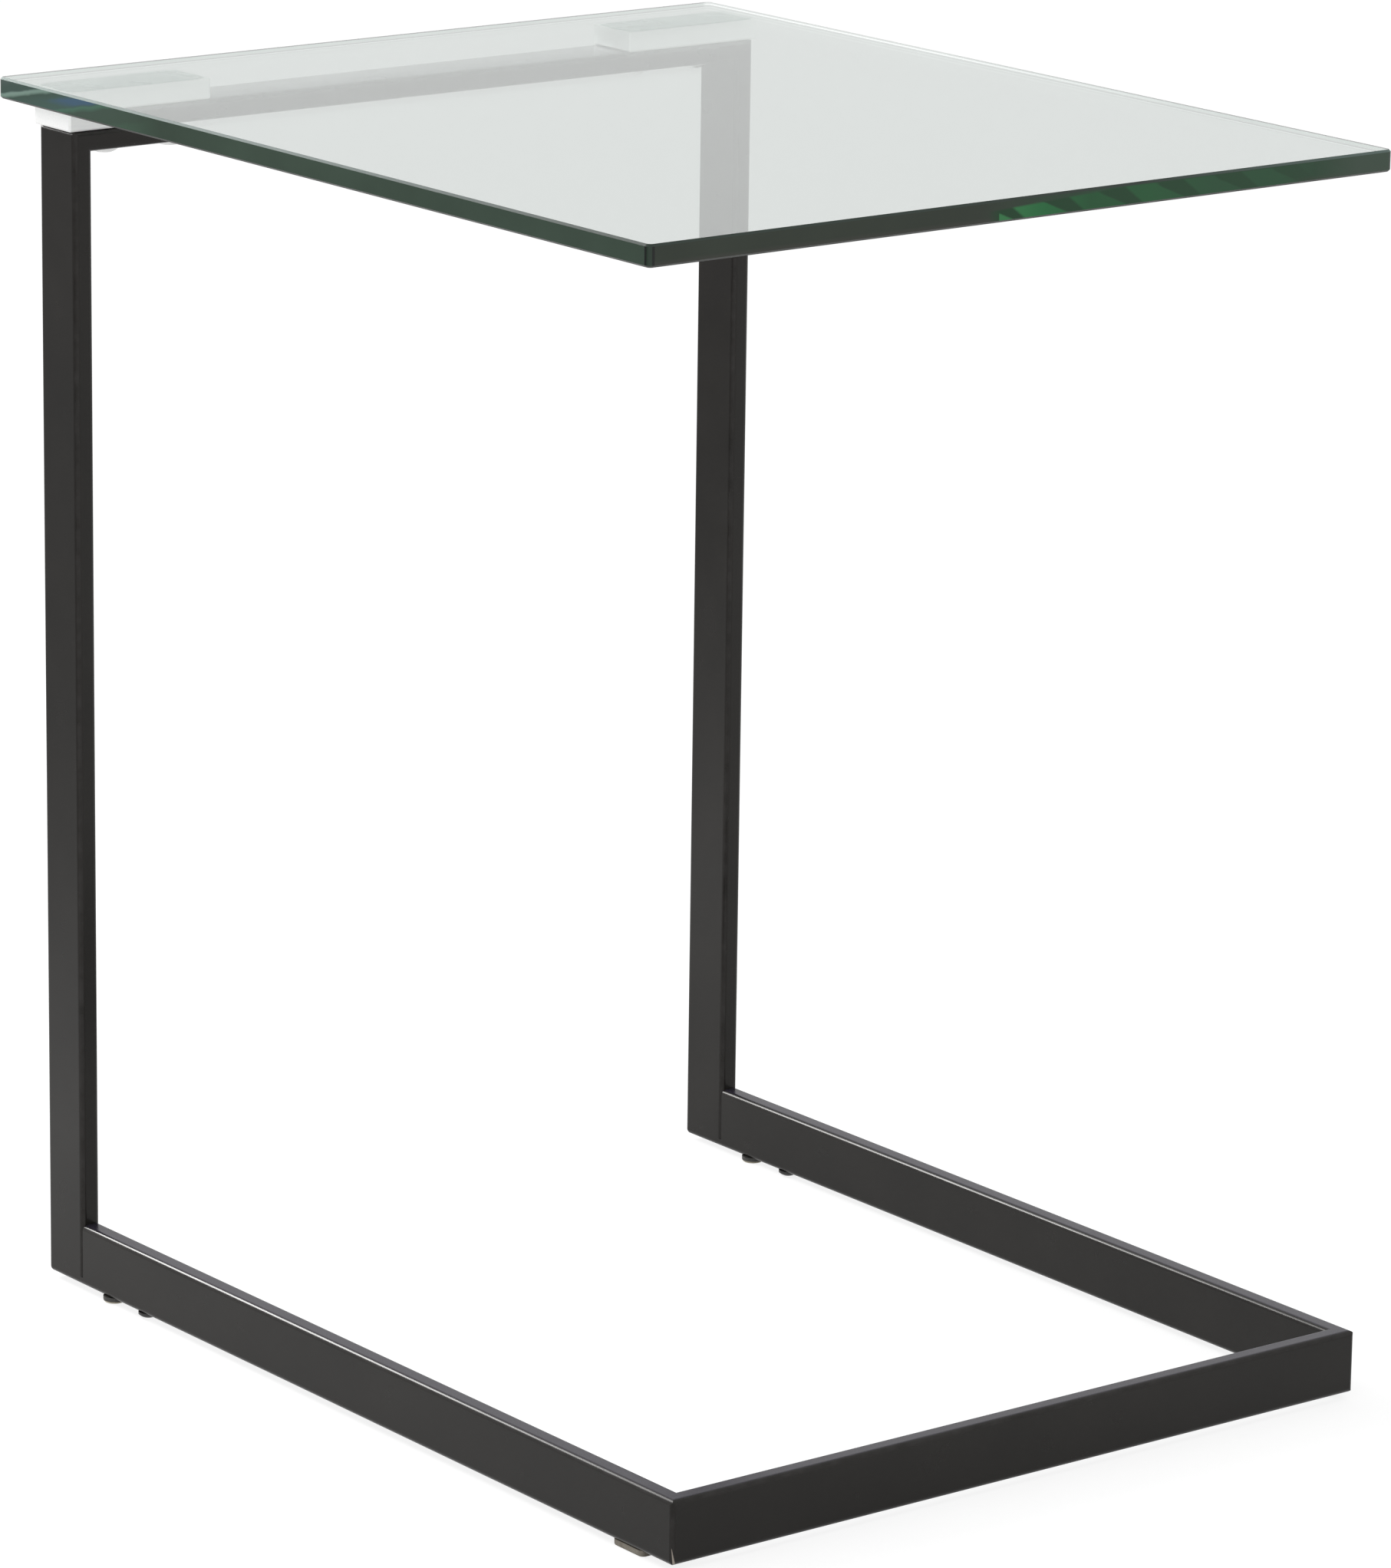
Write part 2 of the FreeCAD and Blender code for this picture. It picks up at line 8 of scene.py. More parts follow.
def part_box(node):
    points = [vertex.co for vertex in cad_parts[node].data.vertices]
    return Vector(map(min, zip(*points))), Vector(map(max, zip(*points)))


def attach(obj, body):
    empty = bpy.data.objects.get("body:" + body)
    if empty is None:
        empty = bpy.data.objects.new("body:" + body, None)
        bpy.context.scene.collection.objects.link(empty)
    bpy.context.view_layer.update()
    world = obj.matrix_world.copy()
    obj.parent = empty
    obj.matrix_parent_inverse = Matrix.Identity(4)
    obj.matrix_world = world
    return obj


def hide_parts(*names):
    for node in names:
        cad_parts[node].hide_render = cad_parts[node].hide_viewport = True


# Side table with a glass top on a flat tube frame. Lengths are in metres, and colours are linear.

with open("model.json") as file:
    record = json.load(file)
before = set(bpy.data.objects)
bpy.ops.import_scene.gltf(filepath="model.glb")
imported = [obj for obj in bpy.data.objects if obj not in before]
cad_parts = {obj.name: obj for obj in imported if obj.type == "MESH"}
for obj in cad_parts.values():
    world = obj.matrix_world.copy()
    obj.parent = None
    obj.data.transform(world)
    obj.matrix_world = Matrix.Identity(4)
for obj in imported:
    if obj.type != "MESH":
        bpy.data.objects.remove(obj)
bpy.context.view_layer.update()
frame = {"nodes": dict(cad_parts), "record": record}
nodes = frame["nodes"]
scene = bpy.context.scene


# Camera, solved from the edges of glass and frame in the photo

LONG_SIDE_PX = 2044
SENSOR_MM = 36
VIEW_RANGE = 200


def add_camera(place, yaw, pitch, roll, focal_px):
    """Camera that looks along +Y, turned to the right by yaw, down by pitch and about its axis by roll."""
    yaw, pitch, roll = math.radians(yaw), math.radians(pitch), math.radians(roll)
    forward = Vector(
        (math.sin(yaw) * math.cos(pitch), math.cos(yaw) * math.cos(pitch), -math.sin(pitch))
    )
    level = Vector((math.cos(yaw), -math.sin(yaw), 0))
    upright = level.cross(forward)
    right = level * math.cos(roll) + upright * math.sin(roll)
    up = upright * math.cos(roll) - level * math.sin(roll)
    data = bpy.data.cameras.new("camera")
    data.sensor_width = SENSOR_MM
    data.lens = SENSOR_MM * focal_px / LONG_SIDE_PX
    data.clip_end = VIEW_RANGE
    camera = bpy.data.objects.new("camera", data)
    turn = Matrix((right, up, -forward)).transposed().to_4x4()
    camera.matrix_world = Matrix.Translation(place) @ turn
    scene.collection.objects.link(camera)
    scene.camera = camera


add_camera(Vector((-2.0718, -2.7058, 1.1643)), yaw=37.544, pitch=14.756, roll=0.780, focal_px=9923.3)


# Node helpers


class Nodes:
    """Short ways to add and join the nodes of one tree."""

    def __init__(self, tree):
        self.tree = tree
        tree.nodes.clear()

    def add(self, kind, **settings):
        node = self.tree.nodes.new(kind)
        for name, value in settings.items():
            setattr(node, name, value)
        return node

    def link(self, source, target):
        self.tree.links.new(source, target)

    def feed(self, value, socket):
        """Sets a socket to a number, or links another socket to it."""
        if isinstance(value, (int, float)):
            socket.default_value = value
        else:
            self.link(value, socket)

    def place(self):
        """Where a point lies on its object."""
        return self.add("ShaderNodeTexCoord").outputs["Object"]

    def axes(self, vector):
        """The three parts of a vector."""
        node = self.add("ShaderNodeSeparateXYZ")
        self.link(vector, node.inputs["Vector"])
        return node.outputs["X"], node.outputs["Y"], node.outputs["Z"]

    def facing(self):
        """The three parts of the surface normal."""
        return self.axes(self.add("ShaderNodeNewGeometry").outputs["Normal"])

    def noise(self, scale, detail=3.0, roughness=0.5, vector=None):
        node = self.add("ShaderNodeTexNoise")
        node.inputs["Scale"].default_value = scale
        node.inputs["Detail"].default_value = detail
        node.inputs["Roughness"].default_value = roughness
        self.link(vector or self.place(), node.inputs["Vector"])
        return node.outputs["Fac"]

    def stretched(self, factors):
        """The place on the object, times a factor along each axis."""
        node = self.add("ShaderNodeMapping")
        node.inputs["Scale"].default_value = factors
        self.link(self.place(), node.inputs["Vector"])
        return node.outputs["Vector"]

    def spread(self, source, low, high, start=0.3, stop=0.7):
        """Carries a value from start..stop over to low..high."""
        node = self.add("ShaderNodeMapRange")
        node.inputs["From Min"].default_value = start
        node.inputs["From Max"].default_value = stop
        node.inputs["To Min"].default_value = low
        node.inputs["To Max"].default_value = high
        self.link(source, node.inputs["Value"])
        return node.outputs["Result"]

    def maths(self, operation, first, second=0):
        node = self.add("ShaderNodeMath", operation=operation)
        self.feed(first, node.inputs[0])
        self.feed(second, node.inputs[1])
        return node.outputs["Value"]

    def plus(self, first, second):
        return self.maths("ADD", first, second)

    def minus(self, first, second):
        return self.maths("SUBTRACT", first, second)

    def times(self, first, *others):
        """The product of all that is given."""
        for other in others:
            first = self.maths("MULTIPLY", first, other)
        return first

    def most(self, first, *others):
        """The largest of all that is given."""
        for other in others:
            first = self.maths("MAXIMUM", first, other)
        return first

    def ramp(self, source, stops):
        """A run of colours, each with its place between 0 and 1."""
        node = self.add("ShaderNodeValToRGB")
        marks = node.color_ramp.elements
        while len(marks) < len(stops):
            marks.new(1)
        for mark, (place, colour) in zip(marks, stops):
            mark.position = place
            mark.color = (*colour, 1)
        self.link(source, node.inputs["Fac"])
        return node.outputs["Color"]

    def blend(self, share, first, second):
        """Mixes two colours, each a tuple or a socket."""
        node = self.add("ShaderNodeMix", data_type="RGBA")
        self.link(share, node.inputs["Factor"])
        for name, value in (("A", first), ("B", second)):
            socket = next(s for s in node.inputs if s.name == name and s.type == "RGBA")
            if isinstance(value, tuple):
                socket.default_value = (*value, 1)
            else:
                self.link(value, socket)
        return next(s for s in node.outputs if s.type == "RGBA")

    def bump(self, height, distance, strength):
        node = self.add("ShaderNodeBump")
        node.inputs["Distance"].default_value = distance
        self.feed(strength, node.inputs["Strength"])
        self.link(height, node.inputs["Height"])
        return node.outputs["Normal"]


def new_material(name):
    """Material with one principled surface, the helper for its nodes, and the sockets of that surface."""
    material = bpy.data.materials.new(name)
    material.use_nodes = True
    kit = Nodes(material.node_tree)
    surface = kit.add("ShaderNodeBsdfPrincipled")
    kit.link(surface.outputs["BSDF"], kit.add("ShaderNodeOutputMaterial").inputs["Surface"])
    return material, kit, surface.inputs


# Paint of the frame

PAINT_BLACKS = (0.0064, 0.0056, 0.0048), (0.0102, 0.0089, 0.0076)
# Lighter tone on the rounded edges, for wear and as a painted highlight
PAINT_WORN_AND_HIGHLIT = (0.045, 0.042, 0.042)
# Lilac of dust and of a painted sheen on up-facing faces
PAINT_DUST_AND_SHEEN = (0.024, 0.021, 0.033)
PAINT_BARED = (0.33, 0.29, 0.25)
WEAR_AND_HIGHLIGHT_SHARE = 0.35
PAINT_ROUGHNESS = 0.20, 0.28
EDGE_SMOOTHER = 0.05
FLAT_GRAIN, EDGE_GRAIN = 0.35, 0.05
FLAT_FROM = 0.90, 0.99
UPWARD_FROM = 0.90, 0.98

SCUFF_HEIGHT = 0.0085
SCUFF_HALF_WIDTH = 0.0008
SCUFF_LEAN = -0.0008, 0.0010
SCUFF_BLUR = -0.0001, 0.0002
SCUFF_DEPTH = 0.0022
SCUFF_FADE = 0.0003
SCUFF_TIP = 0.90, 0.99


def rounded_edge(kit):
    """1 on the rounded edges of a square section, 0 on its flats."""
    sides = [kit.maths("ABSOLUTE", part) for part in kit.facing()]
    return kit.spread(kit.most(*sides), 1, 0, *FLAT_FROM)


def foot_scuff(kit):
    """1 where the paint is rubbed through, a thin slanted wedge low on the edge of the front left corner."""
    x, y, z = kit.axes(kit.place())
    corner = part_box("front_base_rail")[0]
    deepest = -corner.x - corner.y - SCUFF_DEPTH
    outer = kit.spread(kit.times(kit.plus(x, y), -1), 0, 1, deepest, deepest + SCUFF_FADE)
    rise = kit.spread(z, 0, 1, corner.z, corner.z + SCUFF_HEIGHT)
    across = kit.minus(kit.minus(y, x), corner.y - corner.x)
    aside = kit.maths("ABSOLUTE", kit.minus(across, kit.spread(rise, *SCUFF_LEAN, 0, 1)))
    half_width = kit.spread(rise, SCUFF_HALF_WIDTH, 0, 0, 1)
    wedge = kit.spread(kit.minus(aside, half_width), 1, 0, *SCUFF_BLUR)
    return kit.times(outer, wedge, kit.spread(rise, 1, 0, *SCUFF_TIP))


def paint():
    """Satin black powder coat, smoother along its edges, with wear and a painted highlight on its rounded
    edges, dust and a painted lilac sheen on top, and rubbed at one front foot.
    """
    material, kit, surface = new_material("satin_black_paint")
    black = kit.blend(kit.spread(kit.noise(scale=22, detail=4), 0, 1), *PAINT_BLACKS)
    edge = rounded_edge(kit)
    # Rounded edges are lightened for wear and as a painted highlight along them.
    wear_and_highlight = kit.times(edge, kit.spread(kit.noise(scale=130, detail=5), 0, WEAR_AND_HIGHLIGHT_SHARE))
    worn_and_highlit = kit.blend(wear_and_highlight, black, PAINT_WORN_AND_HIGHLIT)
    # Up-facing faces get dust and a painted lilac sheen, a painted reflection of what they mirror.
    dust_and_sheen = kit.blend(kit.spread(kit.facing()[2], 0, 1, *UPWARD_FROM), worn_and_highlit, PAINT_DUST_AND_SHEEN)
    kit.link(kit.blend(foot_scuff(kit), dust_and_sheen, PAINT_BARED), surface["Base Color"])
    roughness = kit.spread(kit.noise(scale=60, detail=5), *PAINT_ROUGHNESS)
    kit.link(kit.minus(roughness, kit.times(edge, EDGE_SMOOTHER)), surface["Roughness"])
    surface["Specular IOR Level"].default_value = 0.3
    surface["Specular Tint"].default_value = (1, 0.98, 0.95, 1)
    grain = kit.noise(scale=900, detail=2)
    strength = kit.spread(edge, FLAT_GRAIN, EDGE_GRAIN, 0, 1)
    kit.link(kit.bump(grain, distance=0.00001, strength=strength), surface["Normal"])
    return material


# Clear glass


def glass():
    """Clear float glass, green where much of it is looked through."""
    material, kit, surface = new_material("clear_glass")
    surface["Base Color"].default_value = (0.93, 0.96, 0.95, 1)
    surface["Transmission Weight"].default_value = 1
    surface["IOR"].default_value = 1.52
    kit.link(kit.spread(kit.noise(scale=9, detail=5), 0.0, 0.012), surface["Roughness"])
    absorption = kit.add("ShaderNodeVolumeAbsorption")
    absorption.inputs["Color"].default_value = (0.30, 0.62, 0.44, 1)
    absorption.inputs["Density"].default_value = 6.0
    output = next(node for node in kit.tree.nodes if node.type == "OUTPUT_MATERIAL")
    kit.link(absorption.outputs["Volume"], output.inputs["Volume"])
    return material


# Painted reflections: bright cells in the front edge of the glass, with places along X and depths under the
# top of the plate

CELL_FIRST = -0.0200
CELL_LAST = 0.150
CELL_ORIGIN = -0.0185
CELL_PITCH = 0.0333
CELL_SLANT = 1.3
CELL_SHARES = 0.56, 0.75
CELL_SHARE_DEPTHS = 0.003, 0.009
CELL_BLUR = 0.03
FIRST_CELL_EXTRA = 0.08
FIRST_CELL_LENGTH = 0.010
FIRST_CELL_BLUR = 0.0004
FIRST_CELL_ROOF = 0.0046
LATER_CELL_ROOF = 0.0013
ROOF_RUN = 0.07
ROOF_BLUR = -0.0006, 0.0004
SHADE_BEFORE, SHADE_AFTER = 0.006, 0.001
LAST_CELL_BLUR = 0.01
SHARE_BEYOND = 0.2
CELL_GREENS = (
    (0.00, (0.036, 0.226, 0.071)),
    (0.14, (0.012, 0.165, 0.045)),
    (0.30, (0.010, 0.097, 0.029)),
    (0.50, (0.014, 0.108, 0.034)),
    (0.72, (0.018, 0.086, 0.035)),
)
CELL_SHADES = (0.003, 0.052, 0.014), (0.014, 0.066, 0.026)
BACK_ALONG = -0.99, -0.90


def faces_back_along(kit, part):
    """1 where this part of the normal is nearly -1."""
    return kit.spread(part, 1, 0, *BACK_ALONG)


def front_cells(kit):
    """Painted reflections: slanted bright cells low in the front edge, standing in for light carried inside
    the plate.

    Gives how much they show, and their colour.
    """
    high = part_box("glass_top")[1]
    x, _, z = kit.axes(kit.place())
    depth = kit.minus(high.z, z)
    along = kit.minus(kit.minus(x, kit.times(depth, CELL_SLANT)), CELL_ORIGIN)
    cell = kit.maths("FRACT", kit.maths("DIVIDE", along, CELL_PITCH))
    widest = CELL_FIRST + FIRST_CELL_LENGTH
    extra = kit.spread(x, FIRST_CELL_EXTRA, 0, widest, widest + FIRST_CELL_LENGTH)
    width = kit.plus(kit.spread(depth, *CELL_SHARES, *CELL_SHARE_DEPTHS), extra)
    entered = kit.spread(cell, 0, 1, 0, 2 * CELL_BLUR)
    within = kit.spread(kit.minus(cell, width), 1, 0, -CELL_BLUR, CELL_BLUR)
    begun = kit.spread(x, 0, 1, CELL_FIRST, CELL_FIRST + FIRST_CELL_BLUR)
    lit = kit.times(entered, within, begun)
    place = kit.spread(x, 0, 1, CELL_FIRST, CELL_LAST)
    colour = kit.blend(lit, kit.blend(place, *CELL_SHADES), kit.ramp(place, CELL_GREENS))
    roof = kit.spread(x, FIRST_CELL_ROOF, LATER_CELL_ROOF, CELL_FIRST, CELL_FIRST + ROOF_RUN)
    under = kit.spread(kit.minus(depth, roof), 0, 1, *ROOF_BLUR)
    rising = kit.spread(x, 0, 1, CELL_FIRST - SHADE_BEFORE, CELL_FIRST + SHADE_AFTER)
    fading = kit.spread(x, 1, SHARE_BEYOND, CELL_LAST - LAST_CELL_BLUR, CELL_LAST + LAST_CELL_BLUR)
    ahead = faces_back_along(kit, kit.facing()[1])
    return kit.times(under, rising, fading, ahead), colour


# Painted reflections: bands in the left edge of the glass, with distances from its rear end and heights over
# its underside

BAND_SLANT = 5.0
BAND_RUN = -0.040, 0.110
BAND_RAGGED = 0.002
BAND_FADE = 0.095, 0.135
BAND_COLOURS = (
    (0.00, (0.053, 0.078, 0.070)),
    (0.12, (0.037, 0.066, 0.055)),
    (0.19, (0.038, 0.068, 0.057)),
    (0.22, (0.155, 0.230, 0.196)),
    (0.25, (0.138, 0.210, 0.174)),
    (0.29, (0.036, 0.066, 0.052)),
    (0.40, (0.040, 0.078, 0.064)),
    (0.53, (0.042, 0.082, 0.070)),
    (0.56, (0.050, 0.118, 0.080)),
    (0.63, (0.036, 0.063, 0.046)),
    (0.84, (0.034, 0.062, 0.043)),
    (0.89, (0.037, 0.078, 0.050)),
)
BLUE_BAND = (0.040, 0.084, 0.140)
BLUE_SHARE = 0.9
BLUE_BEGIN = 0.36, 0.42
BLUE_END = 0.50, 0.54
BLUE_HEIGHTS = 0.0035, 0.0065


def rear_bands(kit):
    """Painted reflections: slanted bands of colour in the left edge by the rear corner, one of them a
    painted blue reflection of the sky: how much they show, and their colour.
    """
    low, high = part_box("glass_top")
    _, y, z = kit.axes(kit.place())
    gone = kit.minus(high.y, y)
    rise = kit.minus(z, low.z)
    along = kit.minus(gone, kit.times(rise, BAND_SLANT))
    uneven = kit.spread(kit.noise(scale=90, detail=2), -BAND_RAGGED, BAND_RAGGED)
    place = kit.spread(kit.plus(along, uneven), 0, 1, *BAND_RUN)
    # A painted blue reflection of the sky, stronger higher in the edge.
    inside = kit.times(kit.spread(place, 0, 1, *BLUE_BEGIN), kit.spread(place, 1, 0, *BLUE_END))
    blue = kit.times(inside, kit.spread(rise, 0, BLUE_SHARE, *BLUE_HEIGHTS))
    colour = kit.blend(blue, kit.ramp(place, BAND_COLOURS), BLUE_BAND)
    leftward = faces_back_along(kit, kit.facing()[0])
    return kit.times(kit.spread(gone, 1, 0, *BAND_FADE), leftward), colour


# Outside of the polished edge: its colours, in pairs where they are cloudy, and where they change

EDGE_SIDE = (0.022, 0.041, 0.027), (0.034, 0.060, 0.041)
EDGE_GREY = (0.019, 0.029, 0.018), (0.030, 0.042, 0.028)
EDGE_GREEN = (0.015, 0.052, 0.025), (0.024, 0.072, 0.036)
EDGE_BROWN = (0.060, 0.050, 0.046)
EDGE_CORNER = (0.004, 0.006, 0.005)
EDGE_RIGHT_END = (0.055, 0.085, 0.062)
# Arris colours: painted shade on the lower arris and a painted highlight on the upper one
LOWER_ARRIS = (0.055, 0.058, 0.054)
UPPER_ARRIS = (0.024, 0.040, 0.030), (0.115, 0.168, 0.150)
GREEN_FROM_X = -0.03, 0.03
BROWN_HEIGHTS = 0.0014, 0.0030
BROWN_SHARE = 0.35
TURN_BEGIN = 0.02, 0.06
TURN_MIDDLE = 0.25, 0.42
MIDDLE_SHARE = 0.2
RIGHT_END_X = 0.160, 0.186
RIGHT_END_SHARE = 0.8
FAR_Y = -0.20, 0.20
FAR_X = 0.06, 0.20
FAR_X_SHARE = 0.9
ARRIS_FROM, ARRIS_FULL = 0.4, 0.6
EDGE_ROUGHNESS = 0.05, 0.10
ARRIS_ROUGHER = 0.30


def glass_edge():
    """The dark green of a polished edge, where the eye looks along the plate, with painted reflections in it
    and painted light and shade on its arrises.
    """
    material, kit, surface = new_material("glass_edge")
    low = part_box("glass_top")[0]
    x, y, z = kit.axes(kit.place())
    normal_x, normal_y, normal_z = kit.facing()
    cloudy = kit.spread(kit.noise(scale=14, detail=4), 0, 1)
    side, grey, green = (kit.blend(cloudy, *pair) for pair in (EDGE_SIDE, EDGE_GREY, EDGE_GREEN))
    ahead = faces_back_along(kit, normal_y)
    front = kit.blend(kit.spread(x, 0, 1, *GREEN_FROM_X), grey, green)
    brown = kit.spread(kit.minus(z, low.z), BROWN_SHARE, 0, *BROWN_HEIGHTS)
    flat = kit.blend(ahead, side, kit.blend(brown, front, EDGE_BROWN))
    turn = kit.maths("ABSOLUTE", kit.times(normal_x, normal_y))
    begun = kit.spread(turn, 0, 1, *TURN_BEGIN)
    corner = kit.times(begun, kit.spread(turn, 1, MIDDLE_SHARE, *TURN_MIDDLE))
    rounded = kit.blend(corner, flat, EDGE_CORNER)
    cell_share, cells = front_cells(kit)
    celled = kit.blend(cell_share, rounded, cells)
    band_share, bands = rear_bands(kit)
    banded = kit.blend(band_share, celled, bands)
    ending = kit.times(kit.spread(x, 0, RIGHT_END_SHARE, *RIGHT_END_X), ahead)
    ended = kit.blend(ending, banded, EDGE_RIGHT_END)
    # Painted light on the arrises: the upper one pales as a painted highlight, most towards the far side,
    # and the lower one, facing down, is kept a dark grey as painted shade.
    lower = kit.spread(normal_z, 1, 0, -ARRIS_FULL, -ARRIS_FROM)
    upper = kit.spread(normal_z, 0, 1, ARRIS_FROM, ARRIS_FULL)
    far = kit.most(kit.spread(y, 0, 1, *FAR_Y), kit.spread(x, 0, FAR_X_SHARE, *FAR_X))
    painted_arris_highlight = kit.blend(far, *UPPER_ARRIS)
    kit.link(kit.blend(upper, kit.blend(lower, ended, LOWER_ARRIS), painted_arris_highlight), surface["Base Color"])
    polish = kit.spread(kit.noise(scale=200), *EDGE_ROUGHNESS)
    ground = kit.times(kit.most(lower, upper), ARRIS_ROUGHER)
    kit.link(kit.plus(polish, ground), surface["Roughness"])
    surface["Specular IOR Level"].default_value = 0.3
    return material


# Inside of the polished edge, which glows with painted light, with depths under the top of the plate and
# heights over its underside

INNER_PALES = (0.58, 0.64, 0.61), (0.64, 0.70, 0.67)
INNER_RIGHT = (0.72, 0.75, 0.73)
INNER_LOW_LINE = (1.2, 1.2, 1.2)
INNER_STRIP = (1.05, 1.10, 1.08)
INNER_RIM = (0.18, 0.18, 0.18)
RIGHT_INSETS = 0.004, 0.002
RIGHT_LIGHTER_Y = -0.12, 0.08
RIGHT_RIM_SHARE = 0.15
LOW_LINE_HEIGHTS = 0.0016, 0.0032
STRIP_DEPTHS = 0.0017, 0.0013
RIM_DEPTHS = 0.0052, 0.0042


def edge_inside_glow():
    """The edge seen from within, glowing with painted light in place of the light that the plate carries,
    with a dark rim high up.
    """
    material, kit, surface = new_material("glass_edge_inside")
    low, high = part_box("glass_top")
    x, y, z = kit.axes(kit.place())
    depth = kit.minus(high.z, z)
    pale = kit.blend(kit.spread(kit.noise(scale=30), 0, 1), *INNER_PALES)
    right = kit.spread(kit.minus(high.x, x), 0, 1, *RIGHT_INSETS)
    lighter = kit.times(right, kit.spread(y, 0, 1, *RIGHT_LIGHTER_Y))
    low_line = kit.spread(kit.minus(z, low.z), 1, 0, *LOW_LINE_HEIGHTS)
    sides = kit.blend(lighter, pale, kit.blend(low_line, INNER_RIGHT, INNER_LOW_LINE))
    strip = kit.spread(depth, 0, 1, *STRIP_DEPTHS)
    lit = kit.blend(strip, sides, INNER_STRIP)
    rim = kit.minus(kit.spread(depth, 0, 1, *RIM_DEPTHS), strip)
    dark = kit.times(rim, kit.spread(lighter, 1, RIGHT_RIM_SHARE, 0, 1))
    surface["Base Color"].default_value = (0.05, 0.06, 0.055, 1)
    surface["Roughness"].default_value = 0.6
    # Painted light: the inner faces glow, though they are no lamp.
    kit.link(kit.blend(dark, lit, INNER_RIM), surface["Emission Color"])
    surface["Emission Strength"].default_value = 0.9
    return material


# Metals, rubber, plastic and adhesive. Their grain runs between two colours and two roughnesses.

GRAIN_STRENGTH = 0.5
GRAIN_FINER = 6
GLIDE_DARKS = (0.030, 0.029, 0.027), (0.050, 0.048, 0.045)
# Pale rim colours and heights, a painted reflection of the floor
FLOOR_GLINT_PALES = (0.40, 0.36, 0.27), (0.55, 0.50, 0.40)
FLOOR_GLINT_HEIGHTS = 0.0009, 0.0012


def metal(name, colours, roughness, grain, depth, bare=1.0):
    """Bare or plated metal, or less than bare where anodised. Grain gives its scale along each axis."""
    material, kit, surface = new_material(name)
    texture = kit.noise(scale=1, detail=4, vector=kit.stretched(grain))
    kit.link(kit.blend(kit.spread(texture, 0, 1), *colours), surface["Base Color"])
    kit.link(kit.spread(texture, *roughness), surface["Roughness"])
    surface["Metallic"].default_value = bare
    kit.link(kit.bump(texture, distance=depth, strength=GRAIN_STRENGTH), surface["Normal"])
    return material


def cloud(kit, surface, roughness, scale, depth):
    """Gives a surface a cloudy roughness and a finer grain, and says how far into a cloud a point lies."""
    clouds = kit.noise(scale, detail=5, roughness=0.6)
    kit.link(kit.spread(clouds, *roughness), surface["Roughness"])
    grain = kit.noise(scale * GRAIN_FINER)
    kit.link(kit.bump(grain, distance=depth, strength=GRAIN_STRENGTH), surface["Normal"])
    return kit.spread(clouds, 0, 1)


def moulded(name, colours, roughness, scale, depth):
    """Rubber, blackened steel or adhesive with a fine cloudy grain."""
    material, kit, surface = new_material(name)
    share = cloud(kit, surface, roughness, scale, depth)
    kit.link(kit.blend(share, *colours), surface["Base Color"])
    return material


def glide():
    """Dark plastic with a pale rim low down where it meets the floor, a painted reflection of the white
    floor.
    """
    material, kit, surface = new_material("glide_plastic")
    share = cloud(kit, surface, roughness=(0.4, 0.55), scale=300, depth=0.00003)
    dark, pale = (kit.blend(share, *pair) for pair in (GLIDE_DARKS, FLOOR_GLINT_PALES))
    # Painted reflection of the floor as a pale rim low on the glide.
    floor_glint = kit.spread(kit.axes(kit.place())[2], 1, 0, *FLOOR_GLINT_HEIGHTS)
    kit.link(kit.blend(floor_glint, dark, pale), surface["Base Color"])
    return material


materials = {
    "frame_paint": paint(),
    "clear_glass": glass(),
    "satin_aluminium": metal(
        "satin_aluminium",
        colours=((0.91, 0.91, 0.91), (0.96, 0.96, 0.95)),
        roughness=(0.38, 0.50),
        grain=(40, 900, 900),
        depth=0.00001,
        bare=0.25,
    ),
    "plain_steel": metal(
        "plain_steel",
        colours=((0.38, 0.38, 0.38), (0.50, 0.50, 0.50)),
        roughness=(0.35, 0.5),
        grain=(300, 300, 300),
        depth=0.00002,
    ),
    "zinc_steel": metal(
        "zinc_steel",
        colours=((0.62, 0.62, 0.62), (0.76, 0.76, 0.75)),
        roughness=(0.22, 0.36),
        grain=(400, 400, 400),
        depth=0.00001,
    ),
    "black_steel": moulded(
        "black_steel",
        colours=((0.018, 0.017, 0.017), (0.035, 0.034, 0.034)),
        roughness=(0.3, 0.45),
        scale=400,
        depth=0.00002,
    ),
    "pad_rubber": moulded(
        "pad_rubber",
        colours=((0.14, 0.122, 0.098), (0.23, 0.210, 0.175)),
        roughness=(0.65, 0.85),
        scale=300,
        depth=0.00005,
    ),
    "glide_plastic": glide(),
    "bond_adhesive": moulded(
        "bond_adhesive",
        colours=((0.50, 0.58, 0.55), (0.36, 0.44, 0.42)),
        roughness=(0.2, 0.35),
        scale=34,
        depth=0.00001,
    ),
}

for subpart in frame["record"]["subparts"]:
    mesh = nodes[subpart["node"]].data
    mesh.materials.clear()
    mesh.materials.append(materials[subpart["material_slot"]])


# Polished edge of the glass, a skin round the plate from just inside its edges to just outside them

GLASS_RADIUS = 0.003
GLASS_ARRIS = 0.001
EDGE_INSIDE = -0.00003
EDGE_OUTSIDE = 0.00005
CORNER_STEPS = 8


def add_piece(name, vertices, faces, *looks):
    """New mesh object with these materials."""
    mesh = bpy.data.meshes.new(name)
    mesh.from_pydata(vertices, [], faces)
    for material in looks:
        mesh.materials.append(material)
    piece = bpy.data.objects.new(name, mesh)
    scene.collection.objects.link(piece)
    return piece


